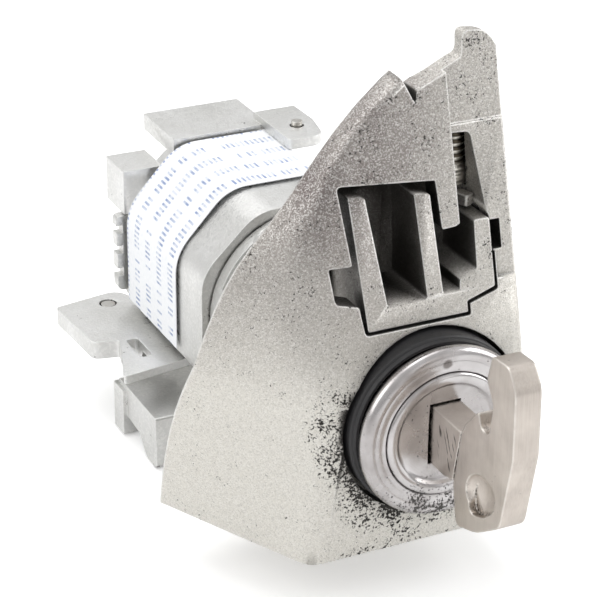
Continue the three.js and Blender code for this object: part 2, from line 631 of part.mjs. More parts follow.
// ---------------------------------------------------------------- key
// The head is a flat plate, wider below than above, with a thumb notch and a cast pocket.
const HEAD = [
  [-8.4, 4.4], [-9.4, 6.4, 0.5], [-12.5, 9.8, 0.5], [-13.4, 7.6, 0.8], [-15.4, 7.6, 0.9], [-16.2, 12.4, 0.8],
  [-14.2, 15.4, 1], [-15.3, 19.4, 0.5], [-19.4, 19.6, 0.8], [-21.4, 16.8, 1], [-21.6, 7], [-19.2, -4.6, 1.2],
  [-13.2, -8.6, 1.6], [-8, -10.2, 1.2], [-6.8, -4.4, 0.4],
];
const HEAD_POCKET = [[-11.2, -1.5, 1.9], [-11.2, -6.6, 1.9], [-16.4, -4.8, 2.2], [-16.4, -0.2, 2.4]];
function keyHead() {
  const k = KEY_HEAD;
  const plate = alongX(outline(HEAD), k.left, k.right, 4);
  const leftPocket = alongX(outline(HEAD_POCKET), k.left - 2, k.left + k.pocket, 4);
  const rightPocket = alongX(outline(HEAD_POCKET), k.right - 0.9, k.right + 2, 4);
  return cut(plate, leftPocket, rightPocket);
}
function keyBlade() {
  const t = KEY_NECK.thick / 2;
  const h = KEY_NECK.height / 2;
  const back = KEY_NECK.back;
  const neckShape = outline([[-6.4, -3.9, 0.2], [-8.1, 4.4, 0.2], [back, h], [back, -h], [-4, -h]]);
  const neck = alongX(neckShape, -t + 0.1, t + 0.1);
  const half = BLADE.height / 2;
  const shoulder = BLADE.back - 3.4;
  const bladeShape = outline([
    [5, -half], [5, half], [shoulder, half],
    [BLADE.back, 1.2, 0.4], [BLADE.back, -1.2, 0.4], [shoulder, -half],
  ]);
  const blade = alongX(bladeShape, -BLADE.thick / 2, BLADE.thick / 2);
  const g = BLADE.groove / 2;
  const grooves = [-1, 1].map((side) => {
    const reach = [0.9 * side, 3 * side].sort((a, b) => a - b);
    return box(reach, [BLADE.grooveFront, 60], [-g, g]);
  });
  return cut(join(neck, blade), ...grooves);
}
node('key_head', keyHead(), satinNickel());
node('key_blade', keyBlade(), satinNickel());

// ---------------------------------------------------------------- assembly
const assembly = new THREE.Group();
assembly.add(...nodes);
assembly.position.y = -SEAT_DEPTH;

const lock = new THREE.Group();
lock.add(assembly);
export default lock;
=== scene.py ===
# %% [markdown]
# # A car door lock, with its key in it
# The CAD parts are the fixed frame: they hold every size and everything that moves. This file
# gives each of them the surface of the real piece, such as grainy die-cast zinc, a turned steel
# face or a paper label, and models again the few whose shape needs finer work.

# %% Load the fixed frame
import json
import math

import bmesh
import bpy
from mathutils import Matrix, Vector


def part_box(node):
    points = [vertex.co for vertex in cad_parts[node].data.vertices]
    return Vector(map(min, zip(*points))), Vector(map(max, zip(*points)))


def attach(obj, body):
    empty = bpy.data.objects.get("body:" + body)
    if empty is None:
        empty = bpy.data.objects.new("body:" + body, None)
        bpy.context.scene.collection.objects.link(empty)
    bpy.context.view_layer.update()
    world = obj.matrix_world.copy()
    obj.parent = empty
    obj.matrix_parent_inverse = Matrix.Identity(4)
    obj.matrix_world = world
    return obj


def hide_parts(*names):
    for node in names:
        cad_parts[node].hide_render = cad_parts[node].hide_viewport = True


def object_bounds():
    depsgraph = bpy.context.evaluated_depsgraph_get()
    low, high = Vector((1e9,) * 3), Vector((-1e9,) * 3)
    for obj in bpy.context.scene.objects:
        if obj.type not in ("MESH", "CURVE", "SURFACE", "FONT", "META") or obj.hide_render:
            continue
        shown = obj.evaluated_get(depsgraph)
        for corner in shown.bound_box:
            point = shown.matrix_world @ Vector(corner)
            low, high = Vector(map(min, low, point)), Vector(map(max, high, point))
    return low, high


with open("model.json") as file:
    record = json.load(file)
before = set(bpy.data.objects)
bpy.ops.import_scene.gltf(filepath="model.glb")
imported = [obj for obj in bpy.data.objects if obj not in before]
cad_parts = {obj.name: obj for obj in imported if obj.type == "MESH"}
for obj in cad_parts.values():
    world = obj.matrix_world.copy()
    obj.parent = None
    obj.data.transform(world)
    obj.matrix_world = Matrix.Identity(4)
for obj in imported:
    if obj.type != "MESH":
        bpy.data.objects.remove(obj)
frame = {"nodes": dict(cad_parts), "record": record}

MM = 0.001
CAD_LOW, CAD_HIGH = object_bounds()
BODY_OF = {
    node: body
    for body, members in frame["record"]["behaviour"]["bodies"].items()
    for node in members
}
SLOT_OF = {part["node"]: part["material_slot"] for part in frame["record"]["subparts"]}
print(f"{len(frame['nodes'])} parts, {[round(v / MM, 1) for v in CAD_HIGH - CAD_LOW]} mm")

# %% [markdown]
# ## Camera
# A long lens from the left, above the lock face. The place is in the lock's own frame, and the
# turn is given as heading, downward tilt and roll, because a tripod head is set by those.

# %% Camera
CAMERA_AT = Vector((-135.5, -257.2, 150.0)) * MM
HEADING = math.radians(26.0)
DOWN_TILT = math.radians(25.9)
ROLL = math.radians(0.6)
LENS_LENGTH = 132.7
FILM_WIDTH = 36

camera = bpy.data.objects.new("camera", bpy.data.cameras.new("camera"))
camera.data.lens = LENS_LENGTH
camera.data.sensor_width = FILM_WIDTH
camera.data.clip_start = 0.01
turn = Matrix.Rotation(-HEADING, 4, "Z") @ Matrix.Rotation(math.pi / 2 - DOWN_TILT, 4, "X")
camera.matrix_world = Matrix.Translation(CAMERA_AT) @ turn @ Matrix.Rotation(ROLL, 4, "Z")
bpy.context.scene.collection.objects.link(camera)
bpy.context.scene.camera = camera
print(f"camera {CAMERA_AT.length / MM:.0f} mm from the lock, {camera.data.lens:.1f} mm lens")

# %% [markdown]
# ## Studio
# Metal shows what stands around it, so the room matters as much as the lamps. Bright soft
# boxes hang on the left, on the right and overhead, and the front stays dimmer. The world is
# white where the camera sees it and a soft grey room in every reflection. The floor is a pale
# sheet just under the lowest part.

# %% Floor, world and lamps
FLOOR_GLOW = 0.30  # a light table's glow, seen by the camera only
FLOOR_GAP = 0.2 * MM
FLOOR_REACH = 1.5


def pale_floor(height, size):
    """A plain pale ground sheet under the lock."""
    bm = bmesh.new()
    bmesh.ops.create_grid(bm, x_segments=1, y_segments=1, size=size)
    bmesh.ops.translate(bm, vec=(0, 0, height), verts=bm.verts)
    mesh = bpy.data.meshes.new("floor")
    bm.to_mesh(mesh)
    bm.free()
    sheet = bpy.data.objects.new("floor", mesh)
    bpy.context.scene.collection.objects.link(sheet)
    paint = bpy.data.materials.new("white paper floor")
    paint.use_nodes = True
    shader = paint.node_tree.nodes["Principled BSDF"]
    shader.inputs["Base Color"].default_value = (0.93, 0.93, 0.93, 1)
    shader.inputs["Roughness"].default_value = 0.9
    shader.inputs["Specular IOR Level"].default_value = 0.1
    shader.inputs["Emission Color"].default_value = (1, 1, 1, 1)
    path = paint.node_tree.nodes.new("ShaderNodeLightPath")
    lift = paint.node_tree.nodes.new("ShaderNodeMath")
    lift.operation = "MULTIPLY"
    lift.inputs[1].default_value = FLOOR_GLOW
    paint.node_tree.links.new(path.outputs["Is Camera Ray"], lift.inputs[0])
    paint.node_tree.links.new(lift.outputs[0], shader.inputs["Emission Strength"])
    mesh.materials.append(paint)


def soft_box(name, place, width, height, watts, colour=(1, 1, 1)):
    """A rectangular lamp at place, facing the middle of the lock."""
    lamp = bpy.data.lights.new(name, "AREA")
    lamp.shape = "RECTANGLE"
    lamp.size = width
    lamp.size_y = height
    lamp.energy = watts
    lamp.color = colour
    holder = bpy.data.objects.new(name, lamp)
    place = Vector(place)
    facing = (MIDDLE - place).to_track_quat("-Z", "Y").to_matrix().to_4x4()
    holder.matrix_world = Matrix.Translation(place) @ facing
    bpy.context.scene.collection.objects.link(holder)


def studio_world(surround, overhead):
    """White where the camera looks past the lock; a soft grey room in every reflection."""
    world = bpy.data.worlds.new("studio")
    world.use_nodes = True
    bpy.context.scene.world = world
    nodes, links = world.node_tree.nodes, world.node_tree.links
    seen = nodes["Background"]
    seen.inputs["Color"].default_value = (1, 1, 1, 1)
    seen.inputs["Strength"].default_value = 1.0
    room = nodes.new("ShaderNodeBackground")
    room.inputs["Strength"].default_value = 1.0
    where = nodes.new("ShaderNodeTexCoord")
    split = nodes.new("ShaderNodeSeparateXYZ")
    height = nodes.new("ShaderNodeMapRange")
    height.inputs["From Min"].default_value = -0.2
    height.inputs["From Max"].default_value = 0.9
    height.inputs["To Min"].default_value = surround
    height.inputs["To Max"].default_value = overhead
    links.new(where.outputs["Generated"], split.inputs[0])
    links.new(split.outputs["Z"], height.inputs["Value"])
    links.new(height.outputs["Result"], room.inputs["Color"])
    path = nodes.new("ShaderNodeLightPath")
    either = nodes.new("ShaderNodeMixShader")
    links.new(path.outputs["Is Camera Ray"], either.inputs["Fac"])
    links.new(room.outputs[0], either.inputs[1])
    links.new(seen.outputs[0], either.inputs[2])
    links.new(either.outputs[0], nodes["World Output"].inputs["Surface"])


MIDDLE = (CAD_LOW + CAD_HIGH) / 2
WARM = (1, 0.97, 0.94)
FAINTLY_WARM = (1, 0.995, 0.98)
pale_floor(CAD_LOW.z - FLOOR_GAP, FLOOR_REACH)
studio_world(surround=0.42, overhead=0.75)
soft_box("left soft box", (-0.42, 0.10, 0.26), width=0.36, height=0.36, watts=0.72, colour=FAINTLY_WARM)
soft_box("overhead soft box", (-0.05, 0.22, 0.50), width=0.45, height=0.45, watts=1.30)
soft_box("front fill", (0.10, -0.50, 0.20), width=0.40, height=0.30, watts=0.16, colour=WARM)
soft_box("right soft box", (0.45, -0.10, 0.24), width=0.30, height=0.30, watts=1.0)
bpy.context.scene.view_settings.view_transform = "Standard"
print(f"{len(bpy.data.lights)} soft boxes, floor {FLOOR_GAP / MM:.1f} mm below the lowest part")

# %% [markdown]
# ## Shader helpers
# Every finish here is a few textures feeding one Principled shader. These short helpers place
# a node, set its values and join it up, so that each material reads as a list of what it does.

# %% Small helpers for shader trees
def place_node(tree, kind, **settings):
    """Adds a node; settings name its attributes, and in_NAME its input values or sources."""
    node = tree.nodes.new(kind)
    for key, value in settings.items():
        if not key.startswith("in_"):
            setattr(node, key, value)
    fed = {key[3:]: value for key, value in settings.items() if key.startswith("in_")}
    for key, value in fed.items():
        socket = int(key) if key.isdigit() else key.replace("_", " ")
        plug_in(tree, node.inputs[socket], value)
    return node


def plug_in(tree, socket, value):
    """Feeds a socket from another node's output, or sets its value."""
    if isinstance(value, bpy.types.NodeSocket):
        tree.links.new(value, socket)
    else:
        socket.default_value = value


def calculate(tree, operation, *values):
    """A Math node's result."""
    node = place_node(tree, "ShaderNodeMath", operation=operation)
    for socket, value in zip(node.inputs, values):
        plug_in(tree, socket, value)
    return node.outputs[0]


def remap(tree, value, low, high, to_low=0.0, to_high=1.0):
    """Stretches value from low..high to to_low..to_high, and holds it there."""
    node = place_node(
        tree, "ShaderNodeMapRange", in_0=value, in_1=low, in_2=high, in_3=to_low, in_4=to_high)
    return node.outputs[0]


def blend_colours(tree, share, first, second):
    """One colour over another, by share."""
    node = place_node(tree, "ShaderNodeMix", data_type="RGBA")
    plug_in(tree, node.inputs[0], share)
    plug_in(tree, node.inputs[6], first)
    plug_in(tree, node.inputs[7], second)
    return node.outputs[2]


def from_lock_axis(tree, x, z):
    """The distance from the lock axis."""
    across = calculate(tree, "POWER", x, 2.0)
    up = calculate(tree, "POWER", z, 2.0)
    return calculate(tree, "SQRT", calculate(tree, "ADD", across, up))


def start_group(name, inputs, outputs):
    """A shader node group with named sockets: inputs as (name, kind, default)."""
    tree = bpy.data.node_groups.new(name, "ShaderNodeTree")
    for socket, kind, default in inputs:
        made = tree.interface.new_socket(
            name=socket, in_out="INPUT", socket_type=f"NodeSocket{kind}")
        if default is not None:
            made.default_value = default
    for socket, kind in outputs:
        tree.interface.new_socket(name=socket, in_out="OUTPUT", socket_type=f"NodeSocket{kind}")
    return tree, tree.nodes.new("NodeGroupInput"), tree.nodes.new("NodeGroupOutput")


def use_group(tree, group, **values):
    """Places a node group, with its inputs set by name."""
    node = tree.nodes.new("ShaderNodeGroup")
    node.node_tree = group
    for key, value in values.items():
        plug_in(tree, node.inputs[key.replace("_", " ")], value)
    return node


def describe(tree):
    """Prints how big a node tree has become, and passes it on."""
    print(f"{tree.name}: {len(tree.nodes)} nodes")
    return tree


# %% [markdown]
# ## Grain of a cast surface
# Zinc that has been shot into a steel mould comes out with a skin of tiny facets. Up close some
# of them face the light and sparkle, others lie in shade and read as dark pits, and over
# centimetres the tone drifts a little. One group gives all four: a height for the bump, single
# bright facets, dark pits, and the slow drift.

# %% Node group: cast grain
DRIFTS_PER_METRE = 110.0


def make_cast_grain():
    tree, given, result = start_group(
        "cast grain",
        [("Vector", "Vector", None), ("Facets per Metre", "Float", 3000.0)],
        [("Height", "Float"), ("Sparkle", "Float"), ("Pits", "Float"), ("Drift", "Float")],
    )
    where, density = given.outputs["Vector"], given.outputs["Facets per Metre"]
    fine = place_node(tree, "ShaderNodeTexNoise", in_Vector=where, in_Scale=density, in_Detail=3.0)
    facets = place_node(tree, "ShaderNodeTexVoronoi", in_Vector=where, in_Scale=density)
    facet_tone = place_node(tree, "ShaderNodeSeparateColor", in_Color=facets.outputs["Color"])
    slow = place_node(
        tree, "ShaderNodeTexNoise", in_Vector=where, in_Scale=DRIFTS_PER_METRE, in_Detail=4.0)
    tree.links.new(fine.outputs[0], result.inputs["Height"])
    tree.links.new(remap(tree, facet_tone.outputs[0], 0.45, 1.0), result.inputs["Sparkle"])
    tree.links.new(remap(tree, facet_tone.outputs[1], 0.55, 1.0), result.inputs["Pits"])
    tree.links.new(remap(tree, slow.outputs[0], 0.3, 0.7), result.inputs["Drift"])
    return tree


CAST_GRAIN = describe(make_cast_grain())

# %% [markdown]
# ## Speckled grime
# Road dirt sits on a casting as black specks that crowd together in corners. Noise cut off at a
# level makes specks; the more cover is asked for, the lower the level, and a second, coarser
# noise gathers them into clumps.

# %% Node group: speckled grime
CLUMPS_PER_METRE = 330.0
NO_GRIME_LEVEL = 0.93
FULL_GRIME_LEVEL = 0.62


def make_speckled_grime():
    tree, given, result = start_group(
        "speckled grime",
        [("Vector", "Vector", None), ("Cover", "Float", 0.2), ("Specks per Metre", "Float", 1600.0)],
        [("Mask", "Float")],
    )
    where, cover = given.outputs["Vector"], given.outputs["Cover"]
    specks = place_node(
        tree, "ShaderNodeTexNoise", in_Vector=where, in_Scale=given.outputs["Specks per Metre"],
        in_Detail=4.0, in_Roughness=0.65)
    clumps = place_node(
        tree, "ShaderNodeTexNoise", in_Vector=where, in_Scale=CLUMPS_PER_METRE, in_Detail=2.0)
    crowd = calculate(tree, "MULTIPLY_ADD", clumps.outputs[0], 0.4, specks.outputs[0])
    level = remap(tree, cover, 0.0, 1.0, NO_GRIME_LEVEL, FULL_GRIME_LEVEL)
    raised = calculate(tree, "SUBTRACT", crowd, level)
    tree.links.new(remap(tree, raised, 0.0, 0.05), result.inputs["Mask"])
    return tree


SPECKLED_GRIME = describe(make_speckled_grime())

# %% [markdown]
# ## Rounded edges, with wear and a painted highlight
# No cast or machined edge is sharp, and handling polishes the corners first. The renderer can
# blend the normals of nearby faces as if the edge were rounded by a radius. Where that blended
# normal leans away from the true one there is an edge, so one group gives both the rounded
# normal and a mask of the bright line along it, partly rubbed wear and partly a painted highlight.

# %% Node group: rounded and rubbed edges
EDGE_PATCHES_PER_METRE = 900.0


def make_edges_worn_and_lit():
    tree, given, result = start_group(
        "rounded edges with wear and painted highlight",
        [("Vector", "Vector", None), ("Radius", "Float", 0.0003)],
        [("Normal", "Vector"), ("Mask", "Float")],
    )
    shape = place_node(tree, "ShaderNodeNewGeometry")
    rounded = place_node(tree, "ShaderNodeBevel", samples=4, in_Radius=given.outputs["Radius"])
    agree = place_node(tree, "ShaderNodeVectorMath", operation="DOT_PRODUCT")
    tree.links.new(rounded.outputs[0], agree.inputs[0])
    tree.links.new(shape.outputs["Normal"], agree.inputs[1])
    lean = calculate(tree, "SUBTRACT", 1.0, agree.outputs["Value"])
    patches = place_node(
        tree, "ShaderNodeTexNoise", in_Vector=given.outputs["Vector"],
        in_Scale=EDGE_PATCHES_PER_METRE, in_Detail=3.0)
    broken = remap(tree, patches.outputs[0], 0.30, 0.55, 0.45, 1.0)
    # the mask is partly rubbed wear and partly a painted highlight, on hollow edges as well as outer
    # ones
    mask = calculate(tree, "MULTIPLY", remap(tree, lean, 0.004, 0.04), broken)
    tree.links.new(mask, result.inputs["Mask"])
    tree.links.new(rounded.outputs[0], result.inputs["Normal"])
    return tree


EDGES_WORN_AND_LIT = describe(make_edges_worn_and_lit())

# %% [markdown]
# ## Fine lines
# Brushing and turning leave fine lines that run one way. Noise on coordinates stretched far
# along the lines and packed tightly across them does it for both, because a turned face only
# needs radius and angle in place of two straight coordinates.

# %% Node group: fine lines
def make_fine_lines():
    tree, given, result = start_group(
        "fine lines",
        [("Vector", "Vector", None), ("Packing", "Vector", (40.0, 6000.0, 6000.0))],
        [("Height", "Float"), ("Tone", "Float")],
    )
    packed = place_node(tree, "ShaderNodeVectorMath", operation="MULTIPLY")
    plug_in(tree, packed.inputs[0], given.outputs["Vector"])
    plug_in(tree, packed.inputs[1], given.outputs["Packing"])
    lines = place_node(
        tree, "ShaderNodeTexNoise", in_Vector=packed.outputs[0], in_Scale=1.0, in_Detail=3.0)
    tree.links.new(lines.outputs[0], result.inputs["Height"])
    tree.links.new(remap(tree, lines.outputs[0], 0.35, 0.65), result.inputs["Tone"])
    return tree


FINE_LINES = describe(make_fine_lines())

# %% [markdown]
# ## Starting a material
# Every finish starts from one Principled shader and the piece's own coordinates, so its grain
# and dirt travel with it when it turns. A bump goes on top of the rounded edges, where a finish
# has them. The finished materials are kept by the record's slot names.

# %% Helpers for materials
FINISH = {}


def start_material(name, roughness=0.5, metallic=1.0):
    """A material with its tree, its Principled shader and the object's own coordinates."""
    material = bpy.data.materials.new(name)
    material.use_nodes = True
    tree = material.node_tree
    shader = tree.nodes["Principled BSDF"]
    shader.inputs["Roughness"].default_value = roughness
    shader.inputs["Metallic"].default_value = metallic
    where = place_node(tree, "ShaderNodeTexCoord").outputs["Object"]
    return material, tree, shader, where


def add_finish(slot, material):
    """Keeps a material as the finish of one of the record's slots."""
    FINISH[slot] = material
    print(f"{slot}: {material.name}, {len(material.node_tree.nodes)} nodes")


def raise_bump(tree, shader, height, distance, edges=None):
    """Feeds a height into the shader's normal, as a bump of that many metres."""
    bump = place_node(tree, "ShaderNodeBump", in_Height=height, in_Distance=distance)
    if edges:
        tree.links.new(edges.outputs["Normal"], bump.inputs["Normal"])
    tree.links.new(bump.outputs[0], shader.inputs["Normal"])


# %% [markdown]
# ## Cast zinc of the carrier
# The carrier is the dirtiest piece: light warm grey low on its left flank, darker and browner
# towards its tip, with black specks crowding round the lock face and along its lower
# edge. Where dirt gathers is worked out from place: the distance from the lock axis, the
# height, and how closed-in a spot is, for which the renderer has ambient occlusion.
# A wider measure of the same kind paints shade into the window's deep pockets, but not the screw's.

# %% Material: grimy cast zinc
CLEAN_ZINC = (0.74, 0.72, 0.67, 1)
DARK_UPPER_ZINC = (0.175, 0.145, 0.14, 1)
BRIGHT_ZINC = (0.96, 0.95, 0.93, 1)
DULL_ZINC = (0.20, 0.19, 0.175, 1)
GRIME = (0.030, 0.027, 0.024, 1)
POCKET_SHADE = (0.035, 0.032, 0.028, 1)
LIGHT_BELOW, DARK_ABOVE = 4 * MM, 34 * MM
RING_DIRT_END, RING_DIRT_FULL = 22 * MM, 14.2 * MM
FLANK_DEPTH, FACE_DEPTH = -16 * MM, -21 * MM
LOW_DIRT_START, LOW_DIRT_FULL = -12 * MM, -19 * MM
CORNER_REACH_IN = 2.0 * MM
HOLLOW_REACH_IN = 9.0 * MM


def grimy_cast_zinc():
    material, tree, shader, where = start_material("grimy cast zinc")
    grain = use_group(tree, CAST_GRAIN, Vector=where, Facets_per_Metre=6500.0)
    axes = place_node(tree, "ShaderNodeSeparateXYZ", in_Vector=where)
    x, y, z = axes.outputs
    climb = remap(tree, z, LIGHT_BELOW, DARK_ABOVE)
    leftward = remap(tree, x, 9 * MM, -6 * MM, 0.35, 1.0)
    # the zinc turns darker and browner towards the top and towards the left
    upper_darkening = calculate(tree, "MULTIPLY", climb, leftward)
    upper_darkening = calculate(tree, "MULTIPLY", upper_darkening, remap(tree, grain.outputs["Drift"], 0, 1, 0.7, 1.0))
    metal = blend_colours(tree, upper_darkening, CLEAN_ZINC, DARK_UPPER_ZINC)
    contrast = remap(tree, climb, 0, 1, 0.24, 0.50)
    sparkle = calculate(tree, "MULTIPLY", grain.outputs["Sparkle"], contrast)
    metal = blend_colours(tree, sparkle, metal, BRIGHT_ZINC)
    pits = calculate(tree, "MULTIPLY", grain.outputs["Pits"], contrast)
    metal = blend_colours(tree, pits, metal, DULL_ZINC)

    radius = from_lock_axis(tree, x, z)
    front = remap(tree, y, FLANK_DEPTH, FACE_DEPTH)
    near_ring = remap(tree, radius, RING_DIRT_END, RING_DIRT_FULL, 0.0, 0.95)
    to_left = calculate(tree, "MULTIPLY", x, -0.75)
    to_below = calculate(tree, "MULTIPLY", z, -0.66)
    lower_left = remap(tree, calculate(tree, "ADD", to_left, to_below), -4 * MM, 12 * MM, 0.30, 1.0)
    ring_dirt = calculate(tree, "MULTIPLY", calculate(tree, "MULTIPLY", near_ring, lower_left), front)
    low_edge = remap(tree, z, LOW_DIRT_START, LOW_DIRT_FULL, 0.0, 0.55)
    low_dirt = calculate(tree, "MULTIPLY", low_edge, remap(tree, x, -24 * MM, -12 * MM))
    closed_in = place_node(tree, "ShaderNodeAmbientOcclusion", samples=4, in_Distance=CORNER_REACH_IN)
    corners = remap(tree, closed_in.outputs["AO"], 0.85, 0.35, 0.0, 0.7)
    cover = calculate(tree, "MAXIMUM", calculate(tree, "MAXIMUM", ring_dirt, low_dirt), corners)
    cover = calculate(tree, "MAXIMUM", cover, remap(tree, climb, 0, 1, 0.18, 0.34))
    grime = use_group(tree, SPECKLED_GRIME, Vector=where, Cover=cover, Specks_per_Metre=2500.0)

    edges = use_group(tree, EDGES_WORN_AND_LIT, Vector=where, Radius=0.36 * MM)
    # painted highlight along the edges, partly rubbed wear: brighter zinc where the rounded normal
    # leans away
    metal = blend_colours(tree, edges.outputs["Mask"], metal, BRIGHT_ZINC)
    colour = blend_colours(tree, grime.outputs["Mask"], metal, GRIME)
    # painted shade: a wide ambient occlusion darkens the window's deep pockets; the screw's pocket is
    # let off
    cavity = place_node(tree, "ShaderNodeAmbientOcclusion", samples=6, in_Distance=HOLLOW_REACH_IN)
    shade = remap(tree, cavity.outputs["AO"], 0.80, 0.46, 0.0, 0.97)
    right_of_window = remap(tree, x, 5.8 * MM, 6.6 * MM)
    above_insert = remap(tree, z, 26.5 * MM, 27.4 * MM)
    by_the_screw = calculate(tree, "MULTIPLY", right_of_window, above_insert)
    shade = calculate(tree, "MULTIPLY", shade, remap(tree, by_the_screw, 0, 1, 1.0, 0.12))
    colour = blend_colours(tree, shade, colour, POCKET_SHADE)
    tree.links.new(colour, shader.inputs["Base Color"])
    rough = remap(tree, grain.outputs["Sparkle"], 0, 1, 0.58, 0.34)
    rough = calculate(tree, "MAXIMUM", rough, remap(tree, grime.outputs["Mask"], 0, 1, 0.3, 0.85))
    tree.links.new(rough, shader.inputs["Roughness"])
    tree.links.new(remap(tree, grime.outputs["Mask"], 0, 1, 0.92, 0.1), shader.inputs["Metallic"])
    height = calculate(tree, "MULTIPLY_ADD", grime.outputs["Mask"], 0.5, grain.outputs["Height"])
    raise_bump(tree, shader, height, 0.07 * MM, edges)
    return material


add_finish("cast_zinc", grimy_cast_zinc())

# %% [markdown]
# ## Clean zinc of the rear drive
# The pieces behind the carrier never saw the road. It is the same metal with broader facets,
# brighter and calmer in tone, and has only a trace of dirt in its corners.

# %% Material: clean zinc
FRESH_ZINC = (0.68, 0.68, 0.66, 1)
PALE_ZINC = (0.80, 0.80, 0.79, 1)
EDGE_WEAR_AND_HIGHLIGHT_ZINC = (0.90, 0.90, 0.89, 1)


def clean_zinc():
    material, tree, shader, where = start_material("clean zinc")
    grain = use_group(tree, CAST_GRAIN, Vector=where, Facets_per_Metre=2600.0)
    edges = use_group(tree, EDGES_WORN_AND_LIT, Vector=where, Radius=0.26 * MM)
    metal = blend_colours(tree, grain.outputs["Drift"], FRESH_ZINC, PALE_ZINC)
    sparkle = calculate(tree, "MULTIPLY", grain.outputs["Sparkle"], 0.3)
    metal = blend_colours(tree, sparkle, metal, BRIGHT_ZINC)
    # painted highlight along the edges, partly rubbed wear
    metal = blend_colours(tree, edges.outputs["Mask"], metal, EDGE_WEAR_AND_HIGHLIGHT_ZINC)
    closed_in = place_node(tree, "ShaderNodeAmbientOcclusion", samples=4, in_Distance=CORNER_REACH_IN)
    cover = remap(tree, closed_in.outputs["AO"], 0.8, 0.3, 0.02, 0.45)
    grime = use_group(tree, SPECKLED_GRIME, Vector=where, Cover=cover, Specks_per_Metre=1300.0)
    colour = blend_colours(tree, grime.outputs["Mask"], metal, GRIME)
    tree.links.new(colour, shader.inputs["Base Color"])
    tree.links.new(remap(tree, grain.outputs["Sparkle"], 0, 1, 0.48, 0.34), shader.inputs["Roughness"])
    raise_bump(tree, shader, grain.outputs["Height"], 0.05 * MM, edges)
    return material


add_finish("bare_zinc", clean_zinc())

# %% [markdown]
# ## Turned and polished steel
# The lock face was spun in a lathe and polished, so its marks are circles. Radius and angle
# round the lock axis, put in place of two straight coordinates, bend the fine lines into rings.
# Specks of dirt have stuck low on it, and its upper rim has one dark nick.

# %% Material: turned steel
CLEAR_STEEL = (0.63, 0.61, 0.61, 1)
CLOUDED_STEEL = (0.44, 0.415, 0.41, 1)
DRIED_DIRT = (0.09, 0.085, 0.08, 1)
NICK_DARK = (0.12, 0.10, 0.09, 1)
NICK_AT = Vector((-0.4, -27.1, 11.0)) * MM


def turned_steel():
    material, tree, shader, where = start_material("turned steel")
    axes = place_node(tree, "ShaderNodeSeparateXYZ", in_Vector=where)
    x, y, z = axes.outputs
    radius = from_lock_axis(tree, x, z)
    angle = calculate(tree, "ARCTAN2", z, x)
    rings = place_node(tree, "ShaderNodeCombineXYZ", in_X=radius, in_Y=angle, in_Z=y)
    lines = use_group(tree, FINE_LINES, Vector=rings.outputs[0], Packing=(5200.0, 1.2, 900.0))
    patina = place_node(tree, "ShaderNodeTexNoise", in_Vector=where, in_Scale=160.0, in_Detail=5.0)
    cloud = remap(tree, patina.outputs[0], 0.38, 0.66)
    metal = blend_colours(tree, cloud, CLEAR_STEEL, CLOUDED_STEEL)
    low = remap(tree, z, -4 * MM, -12.5 * MM, 0.12, 0.92)
    grime = use_group(tree, SPECKLED_GRIME, Vector=where, Cover=low, Specks_per_Metre=2400.0)
    colour = blend_colours(tree, grime.outputs["Mask"], metal, DRIED_DIRT)
    to_nick = place_node(tree, "ShaderNodeVectorMath", operation="DISTANCE")
    tree.links.new(where, to_nick.inputs[0])
    to_nick.inputs[1].default_value = NICK_AT
    ragged = calculate(tree, "MULTIPLY_ADD", patina.outputs[0], 1.2 * MM, to_nick.outputs["Value"])
    nick = remap(tree, ragged, 1.5 * MM, 1.2 * MM, 0.0, 0.75)
    colour = blend_colours(tree, nick, colour, NICK_DARK)
    tree.links.new(colour, shader.inputs["Base Color"])
    rough = remap(tree, cloud, 0, 1, 0.20, 0.34)
    rough = calculate(tree, "MAXIMUM", rough, remap(tree, grime.outputs["Mask"], 0, 1, 0.1, 0.8))
    tree.links.new(rough, shader.inputs["Roughness"])
    tree.links.new(remap(tree, grime.outputs["Mask"], 0, 1, 1.0, 0.2), shader.inputs["Metallic"])
    height = calculate(tree, "MULTIPLY_ADD", grime.outputs["Mask"], 1.2, lines.outputs["Height"])
    raise_bump(tree, shader, height, 0.012 * MM)
    return material


add_finish("polished_steel", turned_steel())

# %% [markdown]
# ## Satin nickel of the key
# The key is plated a warm satin grey and brushed along its height. Its edges are brighter, partly
# worn and partly a painted highlight, and a little dirt stays in the pocket of the head. Slanting
# random scratches mark the neck.

# %% Material: satin nickel
NICKEL_LIGHT = (0.66, 0.60, 0.545, 1)
NICKEL_DARK = (0.54, 0.485, 0.44, 1)
NICKEL_BRUSHED = (0.80, 0.76, 0.71, 1)
NICKEL_EDGE_WEAR_AND_HIGHLIGHT = (0.90, 0.86, 0.81, 1)
KEY_DIRT = (0.10, 0.085, 0.07, 1)
SCRATCH_DARK = (0.06, 0.05, 0.045, 1)
SCRATCH_SLANT = 0.45


def scratches_on_neck(tree, where):
    """A mask of slanting scratches, only between the lock face and the key's head."""
    slanted = place_node(tree, "ShaderNodeMapping", in_Vector=where, in_Rotation=(SCRATCH_SLANT, 0, 0))
    scratches = use_group(tree, FINE_LINES, Vector=slanted.outputs[0], Packing=(900.0, 1500.0, 260.0))
    y, z = place_node(tree, "ShaderNodeSeparateXYZ", in_Vector=where).outputs[1:]
    behind_head = remap(tree, y, -33.2 * MM, -32.6 * MM)
    before_lock = remap(tree, y, -27.6 * MM, -28.4 * MM)
    mid_height = remap(tree, calculate(tree, "ABSOLUTE", z), 3.3 * MM, 2.6 * MM)
    on_neck = calculate(tree, "MULTIPLY", behind_head, before_lock)
    on_neck = calculate(tree, "MULTIPLY", on_neck, mid_height)
    cuts = remap(tree, scratches.outputs["Height"], 0.56, 0.60, 0.0, 0.85)
    return calculate(tree, "MULTIPLY", on_neck, cuts)


